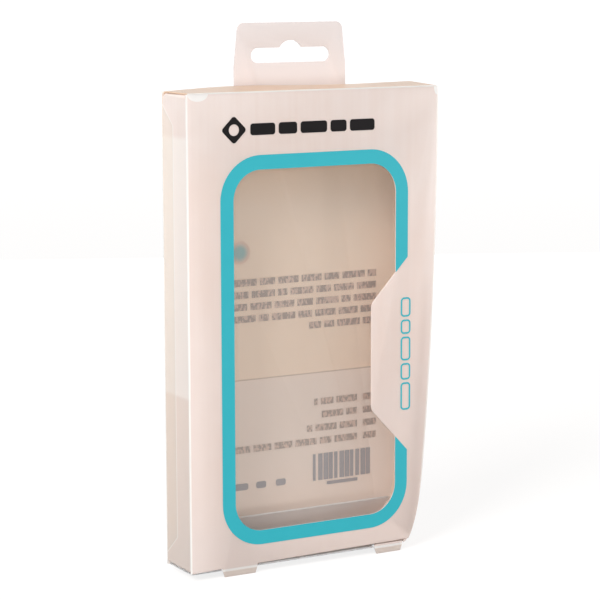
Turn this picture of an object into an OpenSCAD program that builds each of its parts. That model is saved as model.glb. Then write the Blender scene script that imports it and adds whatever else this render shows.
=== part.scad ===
// Hanging box for a phone case, folded from one thin sheet of milky plastic,
// with a glazed window, a tuck lid and a tuck bottom.
// X runs across the front, Y to the back and Z up. The origin lies on the
// floor under the middle of the box, and the front faces -Y.

/* [Box] */
// Width of the front panel at its top
box_w = 100; // [84:1:130]
// Height of the front panel from fold to fold
box_h = 165; // [155:1:210]
// Depth over the sheet
box_d = 18.4; // [14:0.2:26]
// Thickness of the folded sheet
sheet_t = 0.5; // [0.35:0.05:0.7]
// Slit left in the sheet beside a hinged fold
crease = 0.1; // [0.05:0.01:0.2]
// Play between a tucked tongue and the back panel
tuck_play = 0.25; // [0.15:0.05:0.5]

/* [Pressed-in right side] */
// How far the right wall is pressed in at the bottom
bow_in = 8.3; // [0:0.1:9]
// Height over which it runs out
bow_h = 160; // [120:1:160]
// Width of the crushed bottom corner
corner_in = 5.4; // [2:0.1:6]
// Height of the crushed bottom corner
corner_h = 27; // [15:1:35]

/* [Window and printed frame] */
// Width over the printed frame
frame_w = 74.9; // [60:0.1:76]
// Height over the printed frame
frame_h = 135.9; // [110:0.1:137]
// Outer corner radius of the printed frame
frame_r = 15.5; // [8:0.1:20]
// Width of the printed band around the window
band_w = 5; // [2:0.1:7]
// Height of the frame above the bottom fold
frame_lift = 7.5; // [5:0.1:12]
// How far the label reaches in from the frame's outer edge
label_reach = 15; // [10:0.1:20]
// Length of the label's straight inner edge
label_flat = 38; // [25:1:50]
// Height that each slanted edge of the label climbs
label_slant = 16; // [10:0.5:20]
// Height of the label's middle above the bottom fold
label_mid = 69.6; // [55:0.1:80]
// Radius of the label's two inner corners
label_r = 4; // [1:0.5:8]
// Overlap of the window film on the sheet
film_lap = 4.5; // [2:0.5:6]
// Thickness of the window film
film_t = 0.2; // [0.1:0.05:0.3]

/* [Hang tab] */
// Width of the hang tab at its foot
tab_w = 44.6; // [38:0.1:60]
// Height of the hang tab above the lid
tab_h = 22.5; // [18:0.1:32]
// Narrowing of the hang tab on each side towards its top
tab_taper = 1.3; // [0:0.1:2]
// Corner radius of the hang tab
tab_r = 2.6; // [1:0.1:6]
// Length of the hang slot
slot_w = 31.4; // [26:0.1:33]
// Height of the hang slot
slot_h = 5.2; // [4.4:0.1:6]
// Height of the slot's middle above the lid
slot_lift = 11.2; // [9:0.1:13]
// Radius of the hump over the slot
hump_r = 5.1; // [4.6:0.1:6]

/* [Feet] */
// Height of the feet
foot_h = 2.4; // [1:0.1:3]
// Length of a foot where it stands
foot_w = 12; // [8:0.1:16]
// Widening of a foot at each end up to the panel
foot_slant = 0.8; // [0.2:0.1:1.5]
// Distance of a foot from the nearer side wall
foot_inset = 13.2; // [12:0.1:20]
// What the crushed corner takes off the outer end of the right feet
foot_trim = 2; // [0:0.1:3]

/* [Flaps] */
// Lift of the lid's rear edge, from the spring of its tongue
lid_rise = 0.6; // [0:0.1:1.2]
// Turn of the lid's curved tongue about the lid's fold, in degrees
lid_tongue = 46; // [30:1:50]
// Turn of the bottom flap's curved tongue about its fold, in degrees
bottom_tongue = 73; // [30:1:76]
// Radius of the tongues' free corners
tongue_r = 5; // [3:0.5:9]
// Step from a flap's end to its narrower tongue, where the glue flap is in its way
tongue_inset = 2; // [1.2:0.1:4]
// Gap between a flap's ends and the outside of the side walls
flap_inset = 0.6; // [0.4:0.1:1.5]
// Gap between a foot and its notch in the bottom flap
notch_gap = 0.4; // [0.2:0.1:0.8]
// Length of the dust flaps
dust_len = 20; // [12:1:26]
// Cut at the dust flaps' free corners
dust_cut = 5; // [2:0.5:7]
// Outer radius of the dust flaps' folds
dust_fold_r = 1.1; // [0.8:0.1:1.5]
// Width of the glue flap inside the left wall
glue_w = 8.1; // [6:0.1:12]
// Taper at each end of the glue flap
glue_taper = 7; // [3:0.5:10]
// Distance of the glue flap from the top and bottom folds
glue_inset = 4.2; // [3:0.1:8]

/* [Print] */
// Thickness of the printed ink
ink_t = 0.06; // [0.04:0.01:0.1]
// Height of the title's middle above the printed frame
title_lift = 8.8; // [6:0.1:10]
// Distance of the title from the left wall
title_inset = 13; // [8:0.1:20]
// Size of the title's mark
mark_w = 9.8; // [6:0.1:10]
// Height of the title's bars
title_bar_h = 4; // [3:0.1:5]
// Height of the label's outlined bars
label_bar_h = 4.1; // [3:0.1:5]
// Stroke of the label's outlined bars
label_stroke = 0.6; // [0.4:0.1:1]
// How far the label's bars stand outside the frame's outer edge
label_bar_out = 1.3; // [0:0.1:2]
// Height of the lines of the rear print
line_h = 2.4; // [1.5:0.1:3.2]
// Distance of the rear print from the side walls
rear_inset = 14.7; // [10:0.1:20]
// Height of the first long line above the bottom fold
text_lift = 97; // [90:0.1:110]
// Step from one long line to the next
text_step = 4.3; // [3.8:0.1:5]
// Height of the first short line above the bottom fold
notes_lift = 51.7; // [48:0.1:60]
// Step from one short line to the next
notes_step = 4.8; // [4:0.1:5]
// Width of the bar code
code_w = 24.6; // [18:0.1:30]
// Height of the bar code
code_h = 9.8; // [6:0.1:12]
// Height of the bar code's foot above the bottom fold
code_lift = 22.7; // [18:0.1:24]
// Diameter of the round spot on the back
spot_d = 8; // [4:0.1:10]

/* [Hidden] */
$fn = 64;

front_y = -box_d / 2;
back_y = box_d / 2;
side_x = box_w / 2;
low_z = foot_h;
top_z = foot_h + box_h;

arc_step = 10;          // degrees between the points of a round stretch
bow_steps = 14;         // points along the pressed-in wall
slack = 1;              // how far a cutter runs past what it cuts

frame_mid = low_z + frame_lift + frame_h / 2;
label_z = low_z + label_mid;
slot_z = top_z + slot_lift;
foot_x = side_x - foot_inset - foot_w / 2;

axis_in = sheet_t / 2;  // a flap folds about the middle of its sheet
tongue_reach = box_d - axis_in - sheet_t - tuck_play;
flap_x0 = -side_x + flap_inset;
bottom_x1 = side_x - bow_in - corner_in - flap_inset;
notch_reach = foot_h + sheet_t + notch_gap;
lid_tilt = asin(lid_rise / tongue_reach);
corner_turn = 3;        // degrees of the tongue that are as wide as the flap

dust_z = sheet_t + crease;  // the dust flaps lie this far inside the folds
dust_front = front_y + 2 * sheet_t + tuck_play;
dust_back = back_y - 2 * sheet_t - 2 * tuck_play;

// Offset of the right wall from its straight place, at height z above the fold
function bow(z) = z < bow_h ? bow_in * pow(1 - z / bow_h, 2) : 0;

// Points up the right wall from the bottom to the height top, a skin deep below
// the outside, with the crushed corner ending base above the bottom fold
function wall_points(skin, base, top) = concat(
    [for (a = [90 : -arc_step : arc_step])
        let (z = base + skin + (corner_h - base - skin) * (1 - sin(a)))
        [side_x - bow(z) - skin - (corner_in - skin) * (1 - cos(a)), low_z + z]],
    [for (i = [0 : bow_steps])
        let (z = corner_h + (bow_h - corner_h) * i / bow_steps)
        if (z < top) [side_x - bow(z) - skin, low_z + z]],
    [[side_x - skin, low_z + top]]);

function reversed(list) = [for (i = [len(list) - 1 : -1 : 0]) list[i]];

// Points on an arc about c of radius r from angle a0 to a1
function arc(c, r, a0, a1) =
    let (n = max(2, ceil(abs(a1 - a0) / arc_step)))
    [for (i = [0 : n]) c + r * [cos(a0 + (a1 - a0) * i / n), sin(a0 + (a1 - a0) * i / n)]];

// Stands an outline drawn in X and Z up, from y0 to y1
module upright(y0, y1) {
    translate([0, y1, 0]) rotate([90, 0, 0]) linear_extrude(y1 - y0) children();
}

// Extrudes an outline drawn in Y and Z along X, from x0 to x1
module across(x0, x1) {
    translate([x0, 0, 0]) rotate([90, 0, 90]) linear_extrude(x1 - x0) children();
}

module round_rect(w, h, r) {
    square([w - 2 * r, h], center = true);
    square([w, h - 2 * r], center = true);
    for (x = [-1, 1], z = [-1, 1])
        translate([x * (w / 2 - r), z * (h / 2 - r)]) circle(r);
}

// Outline of the front and back panels between the folds
module panel_outline(base, top) {
    polygon(concat([[-side_x, low_z + base]],
                   [for (p = wall_points(0, 0, top)) if (p[1] > low_z + base) p],
                   [[-side_x, low_z + top]]));
}

module feet_outline() {
    for (side = [-1, 1]) {
        x0 = -foot_w / 2;
        x1 = foot_w / 2 - (side > 0 ? foot_trim : 0);
        translate([side * foot_x, 0])
            polygon([[x0, 0], [x1, 0],
                     [x1 + foot_slant, foot_h], [x1 + foot_slant, foot_h + slack],
                     [x0 - foot_slant, foot_h + slack], [x0 - foot_slant, foot_h]]);
    }
}

// The label: a tongue of plain sheet that reaches into the window, out to x1
module label_outline(x1) {
    x0 = frame_w / 2 - label_reach;
    slope = atan(label_slant / label_reach);
    turn = 90 - slope;
    tangent = label_r * tan(turn / 2);
    run = x1 - x0;
    rise = label_slant * run / label_reach;
    polygon(concat(
        [[x1, label_z - label_flat / 2 - rise]],
        [[x1, label_z + label_flat / 2 + rise]],
        arc([x0 + label_r, label_z + label_flat / 2 - tangent], label_r, 180 - turn, 180),
        arc([x0 + label_r, label_z - label_flat / 2 + tangent], label_r, 180, 180 + turn)));
}

module window_outline() {
    difference() {
        translate([0, frame_mid])
            round_rect(frame_w - 2 * band_w, frame_h - 2 * band_w, frame_r - band_w);
        label_outline(frame_w / 2 + slack);
    }
}

module tab_outline() {
    straight = tab_h / 3;
    end = tab_w / 2 - tab_taper - tab_r;
    translate([0, top_z])
        union() {
            polygon([[-tab_w / 2, -slack], [tab_w / 2, -slack], [tab_w / 2, straight],
                     [end + tab_r, tab_h - tab_r], [end, tab_h],
                     [-end, tab_h], [-end - tab_r, tab_h - tab_r], [-tab_w / 2, straight]]);
            for (x = [-1, 1]) translate([x * end, tab_h - tab_r]) circle(tab_r);
        }
}

module slot_outline() {
    translate([0, slot_z]) {
        square([slot_w - slot_h, slot_h], center = true);
        for (x = [-1, 1]) translate([x * (slot_w - slot_h) / 2, 0]) circle(slot_h / 2);
        intersection() {
            circle(hump_r);
            translate([-hump_r, 0]) square([2 * hump_r, hump_r]);
        }
    }
}

// Left dust flap with its rounded fold; up is 1 at the top and -1 at the bottom
module dust_profile(up) {
    z0 = up > 0 ? top_z - dust_z : low_z + dust_z;
    centre = [-side_x + dust_fold_r, z0 - up * dust_fold_r];
    polygon(concat(
        arc(centre, dust_fold_r, 180, 180 - up * 90),
        [[-side_x + dust_fold_r + dust_len, z0]],
        [[-side_x + dust_fold_r + dust_len, z0 - up * sheet_t]],
        arc(centre, dust_fold_r - sheet_t, 180 - up * 90, 180)));
}

// Plan of a left dust flap: full width at the fold, free corners cut
module dust_plan(x0, x1) {
    polygon([[x0, dust_front], [x1 - 2 * dust_cut, dust_front], [x1, dust_front + dust_cut],
             [x1, dust_back - dust_cut], [x1 - dust_cut, dust_back], [x0, dust_back]]);
}

module left_dust(up) {
    intersection() {
        upright(dust_front, dust_back) dust_profile(up);
        linear_extrude(top_z) dust_plan(-side_x, -side_x + dust_fold_r + dust_len);
    }
}

module left_wall() {
    inset = dust_z + dust_fold_r;
    translate([-side_x, front_y, low_z + inset])
        cube([sheet_t, box_d, box_h - 2 * inset]);
    left_dust(1);
    left_dust(-1);
    // The glue flap folds off the back panel and lies inside the left wall
    translate([-side_x + sheet_t, 0, 0]) across(0, sheet_t)
        polygon([[back_y - sheet_t, low_z + glue_inset],
                 [back_y - glue_w, low_z + glue_inset + glue_taper],
                 [back_y - glue_w, top_z - glue_inset - glue_taper],
                 [back_y - sheet_t, top_z - glue_inset]]);
}

module right_wall() {
    top = box_h - dust_z - dust_fold_r;
    upright(front_y, back_y)
        polygon(concat(wall_points(0, dust_z, top), reversed(wall_points(sheet_t, dust_z, top))));
    mirror([1, 0, 0]) left_dust(1);
    // At the bottom the wall curls straight into its dust flap
    curl_x = side_x - bow(dust_z) - corner_in;
    translate([0, 0, low_z + dust_z]) linear_extrude(sheet_t)
        mirror([1, 0, 0]) dust_plan(-curl_x - sheet_t / 2, -curl_x + dust_len);
}

// The folded sheet, without the two tuck flaps
module carton() {
    base = sheet_t + crease;
    color([0.93, 0.87, 0.83]) union() {
        upright(front_y, front_y + sheet_t) difference() {
            union() {
                panel_outline(base, box_h - base);
                feet_outline();
            }
            window_outline();
        }
        upright(back_y - sheet_t, back_y) difference() {
            union() {
                panel_outline(0, box_h);
                feet_outline();
                tab_outline();
            }
            slot_outline();
        }
        left_wall();
        right_wall();
    }
}

// Section of a tuck flap in Y and Z about its fold: round fold, flat panel,
// rounded corner and a tongue that curves about the fold
module flap_section(turn) {
    half = sheet_t / 2;
    outer = tongue_reach;
    inner = tongue_reach - sheet_t;
    circle(half);
    polygon(concat(
        [[0, -half], [0, half]],
        arc([outer - sheet_t, -half], sheet_t, 90, 0),
        arc([0, 0], outer, -asin(half / outer) - 1, -turn),
        arc([0, 0], inner, -turn, -asin(half / inner))));
}

// A tuck flap from x0 to x1, folded at the origin, its tongue from t0 to t1
// hanging below
module tuck_flap(x0, x1, t0, t1, turn) {
    // The free corners are cut square on to the middle of the tongue
    view = turn / 2;
    edge = tongue_reach * sin(turn - view);
    across(x0, x1) flap_section(corner_turn);
    difference() {
        across(t0, t1) flap_section(turn);
        for (side = [0, 1])
            translate([side ? t1 : t0, 0, 0])
                mirror([side, 0, 0]) rotate([-view, 0, 0])
                upright(0, box_d + slack)
                    difference() {
                        translate([-slack, -edge - slack])
                            square([tongue_r + slack, tongue_r + slack]);
                        translate([tongue_r, -edge + tongue_r]) circle(tongue_r);
                    }
    }
}

module lid() {
    color([0.90, 0.80, 0.72])
        translate([0, front_y + axis_in, top_z - axis_in]) rotate([lid_tilt, 0, 0])
            tuck_flap(flap_x0, -flap_x0, flap_x0 + tongue_inset, -flap_x0 - tongue_inset, lid_tongue);
}

module bottom_flap() {
    notch_w = foot_w + 2 * foot_slant + 2 * notch_gap;
    color([0.88, 0.82, 0.78])
        translate([0, front_y + axis_in, low_z + axis_in]) mirror([0, 0, 1]) difference() {
            tuck_flap(flap_x0, bottom_x1, flap_x0 + tongue_inset, bottom_x1, bottom_tongue);
            for (side = [-1, 1])
                translate([side * foot_x - notch_w / 2, -slack, -slack])
                    cube([notch_w, slack + notch_reach, 2 * slack]);
        }
}

module window_film() {
    w = frame_w - 2 * band_w + 2 * film_lap;
    h = frame_h - 2 * band_w + 2 * film_lap;
    color([0.85, 0.9, 0.92, 0.25])
        translate([-w / 2, front_y + sheet_t, frame_mid - h / 2]) cube([w, film_t, h]);
}

// Ink on the outside of the front panel
module front_ink() {
    upright(front_y - ink_t, front_y) children();
}

// Ink on the outside of the back panel
module rear_ink() {
    upright(back_y, back_y + ink_t) children();
}

module frame_print() {
    color([0.27, 0.71, 0.76]) front_ink() difference() {
        translate([0, frame_mid]) round_rect(frame_w, frame_h, frame_r);
        translate([0, frame_mid])
            round_rect(frame_w - 2 * band_w, frame_h - 2 * band_w, frame_r - band_w);
        label_outline(frame_w / 2 + slack);
    }
}

// Outlined bars that stand where a line of thin capitals would
label_bars = [10, 6, 8.6, 5.2, 7];
label_gap = 1;

function sum_to(list, n) = n <= 0 ? 0 : list[n - 1] + sum_to(list, n - 1);

module label_print() {
    span = sum_to(label_bars, len(label_bars)) + label_gap * (len(label_bars) - 1);
    x = frame_w / 2 + label_bar_out - label_bar_h / 2;
    color([0.27, 0.71, 0.76]) front_ink()
        for (i = [0 : len(label_bars) - 1]) {
            len_i = label_bars[i];
            z = label_z - span / 2 + sum_to(label_bars, i) + i * label_gap + len_i / 2;
            translate([x, z]) difference() {
                round_rect(label_bar_h, len_i, label_bar_h / 3);
                round_rect(label_bar_h - 2 * label_stroke, len_i - 2 * label_stroke,
                           label_bar_h / 3 - label_stroke);
            }
        }
}

// Heavy bars that stand where a line of bold words would
title_bars = [9.6, 7.2, 10.5, 6.4, 10];
title_gap = 1.4;

module title_print() {
    mark_x = -side_x + title_inset + mark_w / 2;
    bars_x = mark_x + mark_w / 2 + title_gap;
    color([0.08, 0.07, 0.07]) front_ink() translate([0, frame_mid + frame_h / 2 + title_lift]) {
        translate([mark_x, 0]) difference() {
            rotate(45) round_rect(mark_w / sqrt(2), mark_w / sqrt(2), mark_w / 9);
            circle(mark_w / 5);
        }
        for (i = [0 : len(title_bars) - 1])
            translate([bars_x + sum_to(title_bars, i) + i * title_gap + title_bars[i] / 2, 0])
                round_rect(title_bars[i], title_bar_h, title_bar_h / 4);
    }
}

// Length of word i in the rear print, and the gap after it
function word(i) = 3.5 + 6 * abs(sin(i * 77));
word_gap = 1.3;

// A line of bars from the reader's left, which is +X on the back, up to its length
module text_line(first, length, start = 0, n = 0) {
    w = min(word(first + n), length - start);
    if (w > 1) {
        translate([side_x - rear_inset - start - w, 0]) square([w, line_h]);
        text_line(first, length, start + w + word_gap, n + 1);
    }
}

rear_w = box_w - 2 * rear_inset;
text_lines = 5;
notes = [26, 24, 29, rear_w];       // lengths of the short lines
last_text = 28;                     // length of the last long line
note_key = 5.5;                     // the block that starts each short line
key_gap = 2.5;
code_bars = 11;
code_line = [13, 1.2];              // plain line under the bar code
code_line_drop = 2;

module bar_code() {
    pitch = code_w / code_bars;
    for (i = [0 : code_bars - 1])
        translate([i * pitch, 0]) square([pitch * (0.5 + 0.4 * abs(sin(i * 131))), code_h]);
    translate([(code_w - code_line[0]) / 2, -code_line_drop]) square(code_line);
}

module rear_print() {
    color([0.3, 0.29, 0.29]) rear_ink() {
        for (i = [0 : text_lines - 1])
            translate([0, low_z + text_lift - line_h / 2 - i * text_step])
                text_line(10 * i, i == text_lines - 1 ? last_text : rear_w);
        for (i = [0 : len(notes) - 1])
            translate([0, low_z + notes_lift - line_h / 2 - i * notes_step]) {
                translate([side_x - rear_inset - note_key, 0]) square([note_key, line_h]);
                translate([-note_key - key_gap, 0])
                    text_line(60 + 10 * i, notes[i] - note_key - key_gap);
            }
        translate([side_x - rear_inset - code_w - 2, low_z + code_lift]) bar_code();
        // Three plain marks on a line beside the bar code
        for (i = [0 : 2])
            translate([-side_x + 2 * rear_inset + i * 8, low_z + code_lift + line_h / 2])
                round_rect(i == 0 ? 5.5 : 4, line_h, line_h / 3);
    }
}

module rear_spot() {
    color([0.27, 0.71, 0.76]) rear_ink()
        translate([-side_x + 2 * rear_inset, low_z + text_lift + 2.5 * text_step])
            circle(d = spot_d);
}

carton();
lid();
bottom_flap();
window_film();
frame_print();
label_print();
title_print();
rear_print();
rear_spot();
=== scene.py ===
import math

import bmesh
import bpy
from mathutils import Matrix, Vector


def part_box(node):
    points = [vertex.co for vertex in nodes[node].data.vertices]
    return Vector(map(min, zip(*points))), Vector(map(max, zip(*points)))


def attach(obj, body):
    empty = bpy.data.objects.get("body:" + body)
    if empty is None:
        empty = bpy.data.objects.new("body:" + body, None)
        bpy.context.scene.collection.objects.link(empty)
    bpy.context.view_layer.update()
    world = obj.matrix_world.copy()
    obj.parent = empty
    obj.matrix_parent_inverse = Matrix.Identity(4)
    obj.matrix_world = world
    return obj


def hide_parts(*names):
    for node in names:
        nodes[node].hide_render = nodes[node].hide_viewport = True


mm = 0.001
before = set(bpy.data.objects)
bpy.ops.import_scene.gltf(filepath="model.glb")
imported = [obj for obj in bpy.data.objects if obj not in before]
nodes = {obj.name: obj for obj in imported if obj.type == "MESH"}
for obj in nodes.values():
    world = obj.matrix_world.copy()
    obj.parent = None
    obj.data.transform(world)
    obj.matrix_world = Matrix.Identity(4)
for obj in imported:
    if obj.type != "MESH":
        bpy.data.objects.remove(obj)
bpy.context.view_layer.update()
print("frame loaded:", ", ".join(sorted(nodes)))


def linear(hexColour):
    parts = [int(hexColour[i:i + 2], 16) / 255 for i in (1, 3, 5)]
    return [c / 12.92 if c <= 0.04045 else ((c + 0.055) / 1.055) ** 2.4 for c in parts] + [1.0]


# Adds one node; inputs are values or the sockets they are linked from
def put(tree, kind, inputs=None, **settings):
    made = tree.nodes.new(kind)
    for name, value in settings.items():
        setattr(made, name, value)
    for name, value in (inputs or {}).items():
        if isinstance(value, bpy.types.NodeSocket):
            tree.links.new(value, made.inputs[name])
        else:
            made.inputs[name].default_value = value
    return made


def newMaterial(name):
    material = bpy.data.materials.new(name)
    material.use_nodes = True
    material.node_tree.nodes.clear()
    return material, material.node_tree


def dress(piece, material):
    piece.data.materials.clear()
    piece.data.materials.append(material)


def addPiece(name, mesh):
    piece = bpy.data.objects.new(name, mesh)
    bpy.context.scene.collection.objects.link(piece)
    return piece


# Turns a piece and its modifiers into a plain mesh
def settle(piece):
    graph = bpy.context.evaluated_depsgraph_get()
    mesh = bpy.data.meshes.new_from_object(piece.evaluated_get(graph))
    piece.modifiers.clear()
    piece.data = mesh
    return piece


# The folded box, as the frame gives it
cartonLow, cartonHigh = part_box("carton")
box = dict(
    left=cartonLow.x,
    right=cartonHigh.x,
    front=cartonLow.y,
    back=cartonHigh.y,
    bottom=2.4 * mm,        # height of the bottom fold, over the feet
    top=167.4 * mm,         # height of the top fold
    sheet=0.5 * mm,
    bowIn=8.3 * mm,         # the right wall is pressed in this far at the bottom
    bowHeight=160 * mm,
    glueWidth=8.1 * mm,     # glue flap inside the left wall
    glueInset=4.2 * mm,
    glueTaper=7 * mm,
)

# Polypropylene sheet, calendered and die-cut: milky and satin, light passes into it,
# and it turns white where it is folded or creased, with a painted highlight along the folds as well
sheetLook = dict(
    cream="#F9E4DB",
    shade="#F3DACF",
    crease="#FFFAF4",
    # painted shade on the inside of the box: the back panel, the right wall and the top of the back
    inside="#F9D8C2",
    insideLow="#EFD8CB",
    paintedInsideWallShade="#F6D0B6",
    paintedInsideTopShade="#E9BE9E",
    paintedLowShade="#E3CDC4",      # painted shade: the box is darker towards its foot
    backLine="#A98F7E",
    doubled="#DCCFC2",
    # painted contact shadow on the feet
    foot="#DCCBC0",
    tab="#E2D8D5",
    # painted light and painted shade on the left wall, above and below the tone line
    paintedWallLight="#FFF0E6",
    paintedWallShade="#F0DACD",
    mottle=32 * mm,
    streak=2.5 * mm,        # calender lines, far finer on the real sheet
    grain=0.8 * mm,
    foldWidth=0.75 * mm,
    toneLine=63.5 * mm,     # height at which the wall's painted light turns to painted shade and the back changes tone
    lineRise=1.3 * mm,      # the line on the back lies this much higher
    footFrom=130 * mm,      # the painted shade towards the foot fades in below this height
    topFrom=125 * mm,       # the painted shade at the top of the inside fades in between these two
    topTo=145 * mm,
    brightTop=15 * mm,      # the wall's painted light ends this far under the top fold
    moonStrength=0.85,
    # centre, half width and height of the white marks at the front's two top corners, part stress
    # whitening and part painted highlight
    moons=((-45.7 * mm, 3.9 * mm, 2.5 * mm), (49.6 * mm, 1.4 * mm, 3.0 * mm)),
    roughness=0.34,
    softness=0.5,
    tabSoftness=0.1,
    reach=2.6 * mm,
    flapReach=6 * mm,
)


def sheetShader(tree, place, colour, roughness, reach, softness):
    grain = put(tree, "ShaderNodeTexNoise",
                {"Vector": place, "Scale": 1 / sheetLook["grain"], "Detail": 2.0})
    bump = put(tree, "ShaderNodeBump",
               {"Height": grain.outputs["Fac"], "Strength": 0.1, "Distance": 0.04 * mm})
    shader = put(tree, "ShaderNodeBsdfPrincipled",
                 {"Base Color": colour, "Roughness": roughness, "IOR": 1.49,
                  "Normal": bump.outputs["Normal"], "Subsurface Weight": softness,
                  "Subsurface Radius": (1.0, 0.92, 0.86), "Subsurface Scale": reach})
    put(tree, "ShaderNodeOutputMaterial", {"Surface": shader.outputs["BSDF"]})


def sheetTone(tree, place, cream, shade):
    cloud = put(tree, "ShaderNodeTexNoise",
                {"Vector": place, "Scale": 1 / sheetLook["mottle"], "Detail": 3.0, "Roughness": 0.5})
    stretched = put(tree, "ShaderNodeMapping", {"Vector": place, "Scale": (1.0, 1.0, 0.03)})
    lines = put(tree, "ShaderNodeTexNoise",
                {"Vector": stretched.outputs["Vector"], "Scale": 1 / sheetLook["streak"], "Detail": 2.0})
    mixed = put(tree, "ShaderNodeMath", {0: lines.outputs["Fac"], 1: 0.35, 2: cloud.outputs["Fac"]},
                operation="MULTIPLY_ADD")
    share = put(tree, "ShaderNodeMapRange",
                {"Value": mixed.outputs[0], "From Min": 0.5, "From Max": 0.85})
    return put(tree, "ShaderNodeMix",
               {"Factor": share.outputs["Result"], "A": linear(cream), "B": linear(shade)},
               data_type="RGBA").outputs[2]


# 1 between low and high on a coordinate, with edges as soft as given
def between(tree, value, low, high, soft):
    rise = put(tree, "ShaderNodeMapRange",
               {"Value": value, "From Min": low - soft, "From Max": low + soft},
               interpolation_type="SMOOTHSTEP")
    fall = put(tree, "ShaderNodeMapRange",
               {"Value": value, "From Min": high - soft, "From Max": high + soft,
                "To Min": 1.0, "To Max": 0.0},
               interpolation_type="SMOOTHSTEP")
    return put(tree, "ShaderNodeMath", {0: rise.outputs["Result"], 1: fall.outputs["Result"]},
               operation="MULTIPLY").outputs[0]


def allOf(tree, *masks):
    result = masks[0]
    for mask in masks[1:]:
        result = put(tree, "ShaderNodeMath", {0: result, 1: mask}, operation="MULTIPLY").outputs[0]
    return result


def tint(tree, colour, mask, strength, toHex):
    share = put(tree, "ShaderNodeMath", {0: mask, 1: strength}, operation="MULTIPLY").outputs[0]
    return put(tree, "ShaderNodeMix", {"Factor": share, "A": colour, "B": linear(toHex)},
               data_type="RGBA").outputs[2]


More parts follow.
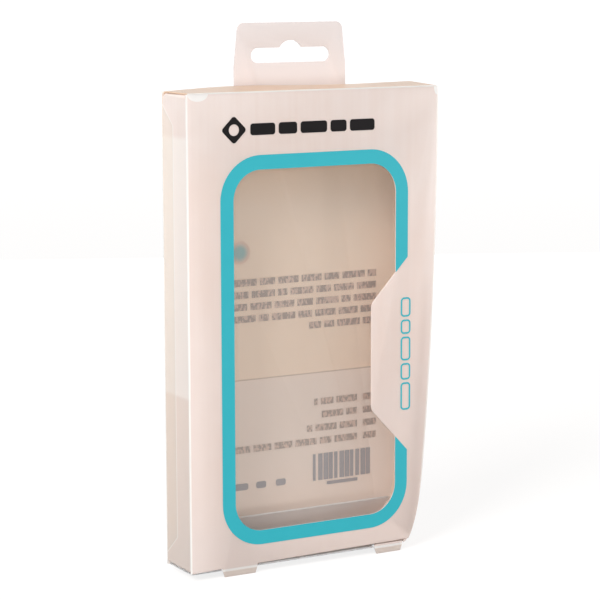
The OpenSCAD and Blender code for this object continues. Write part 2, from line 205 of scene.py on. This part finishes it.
def cartonSheet():
    material, tree = newMaterial("satinPolypropyleneSheet")
    place = put(tree, "ShaderNodeTexCoord").outputs["Object"]
    x, y, z = put(tree, "ShaderNodeSeparateXYZ", {"Vector": place}).outputs
    colour = sheetTone(tree, place, sheetLook["cream"], sheetLook["shade"])
    far = 1.0
    # painted shade: darker towards the foot, where less light reaches
    foot = put(tree, "ShaderNodeMapRange",
               {"Value": z, "From Min": sheetLook["footFrom"], "From Max": 0.0}).outputs["Result"]
    colour = tint(tree, colour, foot, 0.8, sheetLook["paintedLowShade"])

    # inside of the back panel: painted shade, warmer above the tone line, greyer below
    innerBack = between(tree, y, box["back"] - 1.5 * box["sheet"],
                        box["back"] - 0.5 * box["sheet"], 0.05 * mm)
    line = sheetLook["toneLine"] + sheetLook["lineRise"]
    above = between(tree, z, line, far, 0.5 * mm)
    below = between(tree, z, -far, line, 0.5 * mm)
    colour = tint(tree, colour, allOf(tree, innerBack, above), 1.0, sheetLook["inside"])
    colour = tint(tree, colour, allOf(tree, innerBack, below), 1.0, sheetLook["insideLow"])
    # painted shadow of the front's top margin, darker towards the top of the back panel
    top = put(tree, "ShaderNodeMapRange",
              {"Value": z, "From Min": sheetLook["topFrom"],
               "From Max": sheetLook["topTo"]}).outputs["Result"]
    colour = tint(tree, colour, allOf(tree, innerBack, top), 0.75, sheetLook["paintedInsideTopShade"])
    rule = between(tree, z, line - 0.2 * mm, line + 0.2 * mm, 0.2 * mm)
    colour = tint(tree, colour, allOf(tree, innerBack, rule), 0.7, sheetLook["backLine"])

    # left wall: painted light over the hollow part and painted shade below, with the glue flap's darker
    # band behind it
    wall = between(tree, x, -far, box["left"] + 1.2 * box["sheet"], 0.05 * mm)
    high = between(tree, z, sheetLook["toneLine"], box["top"] - sheetLook["brightTop"], 1.2 * mm)
    low = between(tree, z, -far, sheetLook["toneLine"], 0.8 * mm)
    colour = tint(tree, colour, allOf(tree, wall, high), 0.9, sheetLook["paintedWallLight"])
    colour = tint(tree, colour, allOf(tree, wall, low), 0.8, sheetLook["paintedWallShade"])
    # the flap narrows towards both of its ends
    fromEnd = put(tree, "ShaderNodeMath", {0: z, 1: 0.5 * (box["bottom"] + box["top"])},
                  operation="SUBTRACT").outputs[0]
    fromEnd = put(tree, "ShaderNodeMath", {0: fromEnd}, operation="ABSOLUTE").outputs[0]
    half = 0.5 * (box["top"] - box["bottom"]) - box["glueInset"]
    taper = put(tree, "ShaderNodeMapRange",
                {"Value": fromEnd, "From Min": half - box["glueTaper"], "From Max": half,
                 "To Min": box["back"] - box["glueWidth"], "To Max": box["back"]}).outputs["Result"]
    past = put(tree, "ShaderNodeMath", {0: y, 1: taper}, operation="SUBTRACT").outputs[0]
    band = between(tree, past, 0.0, far, 0.25 * mm)
    rim = between(tree, past, -0.45 * mm, 0.05 * mm, 0.2 * mm)
    colour = tint(tree, colour, allOf(tree, wall, band), 0.5, sheetLook["doubled"])
    colour = tint(tree, colour, allOf(tree, wall, rim), 0.55, sheetLook["crease"])

    # painted shade on the inside of the right wall, which is pressed in
    up = put(tree, "ShaderNodeMapRange",
             {"Value": z, "From Min": box["bottom"] + box["bowHeight"],
              "From Max": box["bottom"]}).outputs["Result"]
    bow = put(tree, "ShaderNodeMath", {0: up, 1: 2.0}, operation="POWER").outputs[0]
    rightX = put(tree, "ShaderNodeMath", {0: bow, 1: -box["bowIn"], 2: box["right"]},
                 operation="MULTIPLY_ADD").outputs[0]
    inward = put(tree, "ShaderNodeMath", {0: x, 1: rightX}, operation="SUBTRACT").outputs[0]
    nearWall = between(tree, inward, -3.0 * box["sheet"], 0.0, 0.05 * mm)
    facing = put(tree, "ShaderNodeTexCoord").outputs["Normal"]
    sideways = put(tree, "ShaderNodeSeparateXYZ", {"Vector": facing}).outputs["X"]
    facesIn = between(tree, sideways, -2.0, -0.8, 0.05)
    colour = tint(tree, colour, allOf(tree, nearWall, facesIn), 1.0, sheetLook["paintedInsideWallShade"])
    tab = between(tree, z, box["top"] + 0.3 * mm, far, 0.3 * mm)
    colour = tint(tree, colour, tab, 1.0, sheetLook["tab"])
    # painted contact shadow: the feet are darker where they stand on the floor
    feet = between(tree, z, -far, box["bottom"] - 0.4 * mm, 0.4 * mm)
    colour = tint(tree, colour, feet, 0.8, sheetLook["foot"])

    # whitened folds, part stress whitening and part painted highlight: four upright ones, of which the
    # right two follow the wall, and top and bottom
    nearest = None
    for wallX in (box["left"], rightX):
        for faceY in (box["front"], box["back"]):
            gaps = []
            for value, edge in ((x, wallX), (y, faceY)):
                gap = put(tree, "ShaderNodeMath", {0: value, 1: edge}, operation="SUBTRACT").outputs[0]
                gaps.append(put(tree, "ShaderNodeMath", {0: gap}, operation="ABSOLUTE").outputs[0])
            away = put(tree, "ShaderNodeMath", {0: gaps[0], 1: gaps[1]}, operation="MAXIMUM").outputs[0]
            nearest = away if nearest is None else put(
                tree, "ShaderNodeMath", {0: nearest, 1: away}, operation="MINIMUM").outputs[0]
    for edge in (box["bottom"], box["top"]):
        gap = put(tree, "ShaderNodeMath", {0: z, 1: edge}, operation="SUBTRACT").outputs[0]
        gap = put(tree, "ShaderNodeMath", {0: gap}, operation="ABSOLUTE").outputs[0]
        gap = put(tree, "ShaderNodeMath", {0: gap, 1: 0.1 * mm}, operation="ADD").outputs[0]
        nearest = put(tree, "ShaderNodeMath", {0: nearest, 1: gap}, operation="MINIMUM").outputs[0]
    crease = put(tree, "ShaderNodeMapRange",
                 {"Value": nearest, "From Min": 0.35 * sheetLook["foldWidth"],
                  "From Max": sheetLook["foldWidth"], "To Min": 1.0, "To Max": 0.0},
                 interpolation_type="SMOOTHSTEP").outputs["Result"]
    colour = tint(tree, colour, crease, 0.8, sheetLook["crease"])

    # painted highlight, partly stress whitening: a half-moon at the front's top left corner and a small
    # tick at the right one
    front = between(tree, y, -far, box["front"] + box["sheet"], 0.1 * mm)
    for centreX, wide, tall in sheetLook["moons"]:
        spot = put(tree, "ShaderNodeMapping",
                   {"Vector": place, "Location": (-centreX / wide, 0, -(box["top"] - 0.3 * mm) / tall),
                    "Scale": (1 / wide, 0.0, 1 / tall)})
        fromCentre = put(tree, "ShaderNodeVectorMath", {0: spot.outputs["Vector"]}, operation="LENGTH")
        moon = between(tree, fromCentre.outputs["Value"], -1.0, 1.0, 0.06)
        mark = allOf(tree, moon, front)
        colour = tint(tree, colour, mark, sheetLook["moonStrength"], sheetLook["crease"])
    softness = put(tree, "ShaderNodeMapRange", {"Value": tab, "To Min": sheetLook["softness"],
                                                "To Max": sheetLook["tabSoftness"]}).outputs["Result"]
    sheetShader(tree, place, colour, sheetLook["roughness"], sheetLook["reach"], softness)
    return material


# The same sheet on the two flaps, whitened along the fold, partly by stress and partly as a painted
# highlight
def flapSheet(name, cream, shade, roughness, reach, softness):
    material, tree = newMaterial(name)
    place = put(tree, "ShaderNodeTexCoord").outputs["Object"]
    y = put(tree, "ShaderNodeSeparateXYZ", {"Vector": place}).outputs["Y"]
    colour = sheetTone(tree, place, cream, shade)
    fold = between(tree, y, -1.0, box["front"] + 0.4 * mm, 0.15 * mm)
    colour = tint(tree, colour, fold, 0.85, sheetLook["crease"])
    sheetShader(tree, place, colour, roughness, reach, softness)
    return material


# Screen printed ink: an opaque flat coat with a faint unevenness from the mesh
def printedInk(name, ink, spread, shine):
    material, tree = newMaterial(name)
    place = put(tree, "ShaderNodeTexCoord").outputs["Object"]
    cloud = put(tree, "ShaderNodeTexNoise", {"Vector": place, "Scale": 1 / (9 * mm), "Detail": 4.0})
    colour = put(tree, "ShaderNodeMix",
                 {"Factor": cloud.outputs["Fac"], "A": linear(ink), "B": linear(spread)},
                 data_type="RGBA").outputs[2]
    fine = put(tree, "ShaderNodeTexNoise", {"Vector": place, "Scale": 1 / (0.5 * mm), "Detail": 1.0})
    bump = put(tree, "ShaderNodeBump",
               {"Height": fine.outputs["Fac"], "Strength": 0.08, "Distance": 0.03 * mm})
    shader = put(tree, "ShaderNodeBsdfPrincipled",
                 {"Base Color": colour, "Roughness": 0.42, "IOR": 1.5, "Specular IOR Level": shine,
                  "Normal": bump.outputs["Normal"]})
    put(tree, "ShaderNodeOutputMaterial", {"Surface": shader.outputs["BSDF"]})
    return material


# Clear PET film, cast: nearly invisible face on, brighter where it is seen at a slant
def clearFilm():
    material, tree = newMaterial("clearPetFilm")
    slant = put(tree, "ShaderNodeLayerWeight", {"Blend": 0.25})
    cover = put(tree, "ShaderNodeMapRange",
                {"Value": slant.outputs["Fresnel"], "To Min": 0.05, "To Max": 0.5})
    shader = put(tree, "ShaderNodeBsdfPrincipled",
                 {"Base Color": linear("#F6F1EC"), "Roughness": 0.07, "IOR": 1.57,
                  "Alpha": cover.outputs["Result"]})
    put(tree, "ShaderNodeOutputMaterial", {"Surface": shader.outputs["BSDF"]})
    return material


sheet = cartonSheet()
# painted shade and reflection: the lid's tan tone stands for the shade on its top and the warm light it
# reflects
lidSheet = flapSheet("lidPaintedShadeAndReflection", "#E0BA9E", "#DAB294",
                     roughness=0.3, reach=sheetLook["reach"], softness=sheetLook["softness"])
# painted light: the flap is near white so that its shaded tongue looks lit
bottomSheet = flapSheet("flapPaintedLight", "#FFFAF5", "#FBF3EC",
                        roughness=sheetLook["roughness"], reach=sheetLook["flapReach"], softness=1.0)
turquoise = printedInk("turquoiseScreenInk", "#35B7C4", "#2FB0BE", 0.3)
black = printedInk("blackScreenInk", "#121011", "#191617", 0.1)
grey = printedInk("greyScreenInk", "#4A494B", "#555355", 0.2)
film = clearFilm()
print("materials mixed")

# Folded sheet: the frame's own solids with their loose triangles merged, the folds rounded
# and the cut edges broken
folded = dict(
    foldRadius=0.42 * mm,
    cutEdge=0.09 * mm,
    closeGap=0.25 * mm,     # the front panel runs this far on, into the bead of each flap's fold
    frontEnd=0.6 * mm,      # where the front panel ends, from either fold
    mergeWithin=0.002 * mm,
    same=0.01 * mm,
    flatTurn=math.radians(0.3),
    sharpTurn=math.radians(35),
    rightWall=36 * mm,      # the right wall lies past this x at every height
)


def foldedPiece(name, source, material):
    mesh = nodes[source].data.copy()
    work = bmesh.new()
    work.from_mesh(mesh)
    bmesh.ops.remove_doubles(work, verts=work.verts, dist=folded["mergeWithin"])
    bmesh.ops.dissolve_limit(work, angle_limit=folded["flatTurn"], verts=work.verts, edges=work.edges)
    same = folded["same"]
    for vertex in work.verts:
        if source == "carton" and vertex.co.y < box["front"] + 1.1 * box["sheet"]:
            if abs(vertex.co.z - (box["top"] - folded["frontEnd"])) < 2 * same:
                vertex.co.z += folded["closeGap"]
            elif abs(vertex.co.z - (box["bottom"] + folded["frontEnd"])) < 2 * same:
                vertex.co.z -= folded["closeGap"]
    weights = work.edges.layers.float.new("bevel_weight_edge")
    for edge in work.edges:
        if not edge.is_manifold or edge.calc_face_angle() < folded["sharpTurn"]:
            continue
        a, b = edge.verts
        onFold = all(min(v.co.y - box["front"], box["back"] - v.co.y) < same for v in (a, b))
        upright = abs(a.co.y - b.co.y) < same and abs(a.co.z - b.co.z) > 2 * same
        wallFace = any(abs(face.normal.y) < 0.2 and face.calc_area() > 2 * mm * mm
                       for face in edge.link_faces)
        outer = all(v.co.x < box["left"] + same or v.co.x > folded["rightWall"] for v in (a, b))
        isFold = (source == "carton" and onFold and upright and wallFace and outer
                  and a.co.z < box["top"] and b.co.z < box["top"])
        edge[weights] = 1.0 if isFold else folded["cutEdge"] / folded["foldRadius"]
    work.to_mesh(mesh)
    work.free()
    piece = addPiece(name, mesh)
    soften = piece.modifiers.new("roundedFolds", "BEVEL")
    soften.limit_method = "WEIGHT"
    soften.width = folded["foldRadius"]
    soften.segments = 3
    soften.use_clamp_overlap = True
    settle(piece)
    piece.data.shade_smooth()
    piece.data.set_sharp_from_angle(angle=folded["sharpTurn"])
    dress(piece, material)
    return piece


carton = foldedPiece("foldedCarton", "carton", sheet)
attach(carton, "box")
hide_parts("carton")
bottomFlap = foldedPiece("bottomTuckFlap", "bottom_flap", bottomSheet)
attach(bottomFlap, "base")
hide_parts("bottom_flap")
print("folded sheet:", len(carton.data.polygons), "and", len(bottomFlap.data.polygons), "faces")

# The lid follows a rule: a panel from the fold back, then a tongue that curves about the fold.
# It springs up unevenly, low at its left end and highest left of the tab
lidLow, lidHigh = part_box("lid")
lidInset = 2 * mm           # the tongue is narrower than the panel at both ends
lidShape = {
    "Width": lidHigh.x - lidLow.x,
    "Tongue Width": lidHigh.x - lidLow.x - 2 * lidInset,
    "Reach": 17.15 * mm,    # from the fold to the middle of the tongue's sheet
    "Turn": math.radians(46),
    "Corner Radius": 5 * mm,
    "Front Overlap": box["sheet"] / 2,
    "Rise": 1.0 * mm,
    "Bulge": 0.25 * mm,
    "Fold Y": box["front"] + box["sheet"] / 2,
    "Fold Z": box["top"] - box["sheet"] / 2,
}
lidMesh = dict(
    columns=81,
    rows=61,
    edge=0.2 * mm,
    edgeTurn=math.radians(40),
    # how far it springs up along its length, from its left end to its right one
    riseAlong=((0.0, 0.0), (0.09, 0.42), (0.19, 0.82), (0.3, 1.0),
               (0.5, 0.6), (0.72, 0.35), (0.88, 0.55), (1.0, 0.7)),
)


def lidTree():
    tree = bpy.data.node_groups.new("archedTuckLid", "GeometryNodeTree")
    tree.interface.new_socket("Geometry", in_out="OUTPUT", socket_type="NodeSocketGeometry")
    for name in lidShape:
        tree.interface.new_socket(name, in_out="INPUT", socket_type="NodeSocketFloat")
    tree.interface.new_socket("Finish", in_out="INPUT", socket_type="NodeSocketMaterial")
    given = put(tree, "NodeGroupInput").outputs

    def calc(operation, *values):
        return put(tree, "ShaderNodeMath", dict(enumerate(values)), operation=operation).outputs[0]

    grid = put(tree, "GeometryNodeMeshGrid",
               {"Size X": 2.0, "Size Y": 1.0,
                "Vertices X": lidMesh["columns"], "Vertices Y": lidMesh["rows"]})
    position = put(tree, "GeometryNodeInputPosition").outputs[0]
    at = put(tree, "ShaderNodeSeparateXYZ", {0: position}).outputs
    across = at["X"]                        # -1 to 1 along the fold
    along = calc("ADD", at["Y"], 0.5)       # 0 at the fold, 0.5 at the rear edge, 1 at the tongue's end
    onPanel = calc("MINIMUM", calc("MULTIPLY", along, 2.0), 1.0)
    onTongue = calc("MAXIMUM", calc("MULTIPLY_ADD", along, 2.0, -1.0), 0.0)
    angle = calc("MULTIPLY", onTongue, given["Turn"])
    whole = calc("ADD", given["Reach"], given["Front Overlap"])
    depth = calc("SUBTRACT", calc("MULTIPLY", onPanel, whole), given["Front Overlap"])
    y = calc("MULTIPLY", depth, calc("COSINE", angle))
    drop = calc("MULTIPLY", given["Reach"], calc("SINE", angle))

    # the tongue is narrower than the panel, with round free corners
    isPanel = calc("LESS_THAN", along, 0.5 + 1.5 / (lidMesh["rows"] - 1))
    wide = calc("MULTIPLY_ADD", isPanel, calc("SUBTRACT", given["Width"], given["Tongue Width"]),
                given["Tongue Width"])
    toEnd = calc("MULTIPLY", calc("MULTIPLY", calc("SUBTRACT", 1.0, along), 2.0),
                 calc("MULTIPLY", given["Turn"], given["Reach"]))
    intoCorner = calc("MAXIMUM", calc("SUBTRACT", given["Corner Radius"], toEnd), 0.0)
    run = calc("SQRT", calc("SUBTRACT", calc("POWER", given["Corner Radius"], 2.0),
                            calc("POWER", intoCorner, 2.0)))
    cut = calc("SUBTRACT", given["Corner Radius"], run)
    halfWide = calc("SUBTRACT", calc("MULTIPLY", wide, 0.5), cut)
    x = calc("MULTIPLY", across, halfWide)

    profile = put(tree, "ShaderNodeFloatCurve", {"Value": calc("MULTIPLY_ADD", across, 0.5, 0.5)})
    curve = profile.mapping.curves[0]
    curve.points[0].location = lidMesh["riseAlong"][0]
    curve.points[1].location = lidMesh["riseAlong"][-1]
    for point in lidMesh["riseAlong"][1:-1]:
        curve.points.new(*point)
    profile.mapping.update()
    share = calc("MAXIMUM", calc("DIVIDE", y, given["Reach"]), 0.0)
    lift = calc("MULTIPLY", calc("MULTIPLY", profile.outputs[0], given["Rise"]), share)
    bulge = calc("MULTIPLY", calc("SINE", calc("MULTIPLY", onPanel, math.pi)), given["Bulge"])
    bulge = calc("MULTIPLY", bulge, calc("SUBTRACT", 1.0, calc("POWER", calc("ABSOLUTE", across), 4.0)))
    up = calc("SUBTRACT", calc("ADD", lift, bulge), drop)

    placed = put(tree, "ShaderNodeCombineXYZ",
                 {"X": x, "Y": calc("ADD", y, given["Fold Y"]), "Z": calc("ADD", up, given["Fold Z"])})
    bent = put(tree, "GeometryNodeSetPosition",
               {"Geometry": grid.outputs["Mesh"], "Position": placed.outputs[0]})
    real = put(tree, "GeometryNodeRealizeInstances", {"Geometry": bent.outputs[0]})
    finish = put(tree, "GeometryNodeSetMaterial",
                 {"Geometry": real.outputs[0], "Material": given["Finish"]})
    put(tree, "NodeGroupOutput", {"Geometry": finish.outputs[0]})
    return tree


def makeLid():
    piece = addPiece("archedLid", bpy.data.meshes.new("archedLid"))
    rule = piece.modifiers.new("lidRule", "NODES")
    rule.node_group = lidTree()
    values = {**lidShape, "Finish": lidSheet}
    for socket in rule.node_group.interface.items_tree:
        if socket.in_out == "INPUT":
            rule[socket.identifier] = values[socket.name]
    thick = piece.modifiers.new("sheet", "SOLIDIFY")
    thick.thickness = box["sheet"]
    thick.offset = 0.0
    thick.use_even_offset = True
    soften = piece.modifiers.new("edges", "BEVEL")
    soften.limit_method = "ANGLE"
    soften.angle_limit = lidMesh["edgeTurn"]
    soften.width = lidMesh["edge"]
    soften.segments = 3
    settle(piece)
    piece.data.shade_smooth()
    piece.data.set_sharp_from_angle(angle=folded["sharpTurn"])
    return piece


lid = makeLid()
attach(lid, "top")
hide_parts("lid")
print("lid:", len(lid.data.polygons), "faces")

finishes = dict(window_film=film, frame_print=turquoise, label_print=turquoise, title_print=black,
                rear_print=grey, rear_spot=turquoise)
for name, material in finishes.items():
    dress(nodes[name], material)
print("finishes on the other nodes")

# The rear print shows through the milky sheet: its pale ghost lies on the inside of the back panel
ghost = dict(
    thick=0.02 * mm,
    stand=0.01 * mm,
    grey="#B3A49B",
    greyGap="#E0C8BA",      # the sheet between the strokes
    bars="#A8A5A9",
    barTop=36 * mm,         # the bar code and marks below this height are solid
    stroke=0.75 * mm,
    blue="#9CC6C6",
    blueEdge="#F4D6C3",
    plainSpot=0.35,         # the middle share of the spot that keeps its full colour
)


def showThrough(name, source, material):
    mesh = nodes[source].data.copy()
    low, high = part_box(source)
    inside = box["back"] - box["sheet"]
    for vertex in mesh.vertices:
        share = (vertex.co.y - low.y) / (high.y - low.y)
        vertex.co.y = inside - ghost["stand"] - ghost["thick"] * (1 - share)
    piece = addPiece(name, mesh)
    dress(piece, material)
    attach(piece, "box")
    return piece


def dullShader(tree, colour):
    shader = put(tree, "ShaderNodeBsdfPrincipled", {"Base Color": colour, "Roughness": 0.5, "IOR": 1.49})
    put(tree, "ShaderNodeOutputMaterial", {"Surface": shader.outputs["BSDF"]})


# Grey ink seen through the sheet: the strokes blur into one another
def blurredGrey():
    material, tree = newMaterial("greyInkThroughSheet")
    place = put(tree, "ShaderNodeTexCoord").outputs["Object"]
    z = put(tree, "ShaderNodeSeparateXYZ", {"Vector": place}).outputs["Z"]
    strokes = put(tree, "ShaderNodeMapping", {"Vector": place, "Scale": (1.0, 1.0, 0.5)})
    noise = put(tree, "ShaderNodeTexNoise",
                {"Vector": strokes.outputs["Vector"], "Scale": 1 / ghost["stroke"], "Detail": 1.0})
    share = put(tree, "ShaderNodeMapRange",
                {"Value": noise.outputs["Fac"], "From Min": 0.42, "From Max": 0.6},
                interpolation_type="SMOOTHSTEP").outputs["Result"]
    colour = put(tree, "ShaderNodeMix",
                 {"Factor": share, "A": linear(ghost["grey"]), "B": linear(ghost["greyGap"])},
                 data_type="RGBA").outputs[2]
    colour = tint(tree, colour, between(tree, z, -1.0, ghost["barTop"], 0.2 * mm), 1.0, ghost["bars"])
    dullShader(tree, colour)
    return material


# Turquoise ink seen through the sheet, paler towards the rim of the spot
def blurredBlue():
    material, tree = newMaterial("turquoiseInkThroughSheet")
    place = put(tree, "ShaderNodeTexCoord").outputs["Object"]
    low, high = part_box("rear_spot")
    centre = (low + high) / 2
    radius = (high.x - low.x) / 2
    local = put(tree, "ShaderNodeMapping",
                {"Vector": place, "Location": (-centre.x / radius, 0, -centre.z / radius),
                 "Scale": (1 / radius, 0.0, 1 / radius)})
    away = put(tree, "ShaderNodeVectorMath", {0: local.outputs["Vector"]}, operation="LENGTH")
    share = put(tree, "ShaderNodeMapRange",
                {"Value": away.outputs["Value"], "From Min": ghost["plainSpot"], "From Max": 1.0},
                interpolation_type="SMOOTHSTEP").outputs["Result"]
    colour = put(tree, "ShaderNodeMix",
                 {"Factor": share, "A": linear(ghost["blue"]), "B": linear(ghost["blueEdge"])},
                 data_type="RGBA").outputs[2]
    dullShader(tree, colour)
    return material


showThrough("rearPrintThroughSheet", "rear_print", blurredGrey())
showThrough("rearSpotThroughSheet", "rear_spot", blurredBlue())
print("show-through print laid inside the back panel")

# Plain white studio: a soft lamp from the upper left, low strips at the right, in front and behind,
# and a pale floor
studio = dict(
    floorSize=60.0,
    floorDrop=0.03 * mm,    # just under the feet
    lampAim=(0, 0, 0.1),
    floorTone="#8A8785",
    floorLift=0.8,          # the share of the floor's white that takes no shadow
    farLift=0.96,           # behind, the sweep is lit for itself
    farFrom=0.5,
    farTo=2.5,
    sky=0.5,
    lamps=dict(
        key=dict(place=(-1.0, -0.58, 0.85), size=(0.5, 0.5), power=16.0),
        strip=dict(place=(0.78, -0.5, 0.09), size=(0.4, 0.14), power=2.6),
        low=dict(place=(-0.22, -0.72, 0.06), size=(0.3, 0.1), power=0.6),
        back=dict(place=(0.35, 0.75, 0.08), size=(0.6, 0.14), power=3.4),
    ),
)


def seesWhite(tree):
    path = put(tree, "ShaderNodeLightPath").outputs
    either = put(tree, "ShaderNodeMath", {0: path["Is Camera Ray"], 1: path["Is Glossy Ray"]},
                 operation="MAXIMUM").outputs[0]
    return put(tree, "ShaderNodeMath", {0: either, 1: path["Is Transmission Ray"]},
               operation="MAXIMUM").outputs[0]


def makeStudio():
    half = studio["floorSize"] / 2
    mesh = bpy.data.meshes.new("floor")
    corners = [(x * half, y * half, -studio["floorDrop"])
               for x, y in ((-1, -1), (1, -1), (1, 1), (-1, 1))]
    mesh.from_pydata(corners, [], [(0, 1, 2, 3)])
    floor = addPiece("floor", mesh)
    material, tree = newMaterial("whitePaperSweep")
    plain = put(tree, "ShaderNodeBsdfDiffuse", {"Color": linear(studio["floorTone"])})
    place = put(tree, "ShaderNodeTexCoord").outputs["Object"]
    away = put(tree, "ShaderNodeVectorMath", {0: place}, operation="LENGTH").outputs["Value"]
    lift = put(tree, "ShaderNodeMapRange",
               {"Value": away, "From Min": studio["farFrom"], "From Max": studio["farTo"],
                "To Min": studio["floorLift"], "To Max": studio["farLift"]}).outputs["Result"]
    glow = put(tree, "ShaderNodeEmission", {"Color": (1, 1, 1, 1), "Strength": lift})
    seen = put(tree, "ShaderNodeAddShader", {0: plain.outputs["BSDF"], 1: glow.outputs["Emission"]})
    shader = put(tree, "ShaderNodeMixShader",
                 {0: seesWhite(tree), 1: plain.outputs["BSDF"], 2: seen.outputs["Shader"]})
    put(tree, "ShaderNodeOutputMaterial", {"Surface": shader.outputs["Shader"]})
    dress(floor, material)

    world = bpy.data.worlds.new("studio")
    bpy.context.scene.world = world
    world.use_nodes = True
    tree = world.node_tree
    tree.nodes.clear()
    strength = put(tree, "ShaderNodeMix",
                   {"Factor": seesWhite(tree), "A": studio["sky"], "B": 1.0}).outputs[0]
    background = put(tree, "ShaderNodeBackground", {"Color": (1, 1, 1, 1), "Strength": strength})
    put(tree, "ShaderNodeOutputWorld", {"Surface": background.outputs["Background"]})

    for name, lamp in studio["lamps"].items():
        light = bpy.data.lights.new(name, "AREA")
        light.shape = "RECTANGLE"
        light.size, light.size_y = lamp["size"]
        light.energy = lamp["power"]
        made = bpy.data.objects.new(name, light)
        made.location = lamp["place"]
        made.rotation_mode = "QUATERNION"
        aim = Vector(studio["lampAim"]) - Vector(lamp["place"])
        made.rotation_quaternion = aim.to_track_quat("-Z", "Y")
        bpy.context.scene.collection.objects.link(made)


makeStudio()

# The photograph's camera, found from the straight edges of the box and its print
camera = dict(
    place=(-381.36 * mm, -666.41 * mm, 209.25 * mm),
    aim=(-6.65 * mm, -9.2 * mm, 94.78 * mm),
    roll=0.173,
    lens=132.48,
    sensor=36,
    clip=(0.05, 100),
)


def makeCamera():
    data = bpy.data.cameras.new("camera")
    data.sensor_width = camera["sensor"]
    data.lens = camera["lens"]
    data.clip_start, data.clip_end = camera["clip"]
    made = bpy.data.objects.new("camera", data)
    made.location = camera["place"]
    made.rotation_mode = "QUATERNION"
    look = Vector(camera["aim"]) - Vector(camera["place"])
    turn = Matrix.Rotation(math.radians(camera["roll"]), 3, look.normalized())
    made.rotation_quaternion = (turn @ look.to_track_quat("-Z", "Y").to_matrix()).to_quaternion()
    bpy.context.scene.collection.objects.link(made)
    bpy.context.scene.camera = made


makeCamera()
bpy.context.scene.view_settings.view_transform = "Standard"
print("studio and camera set")
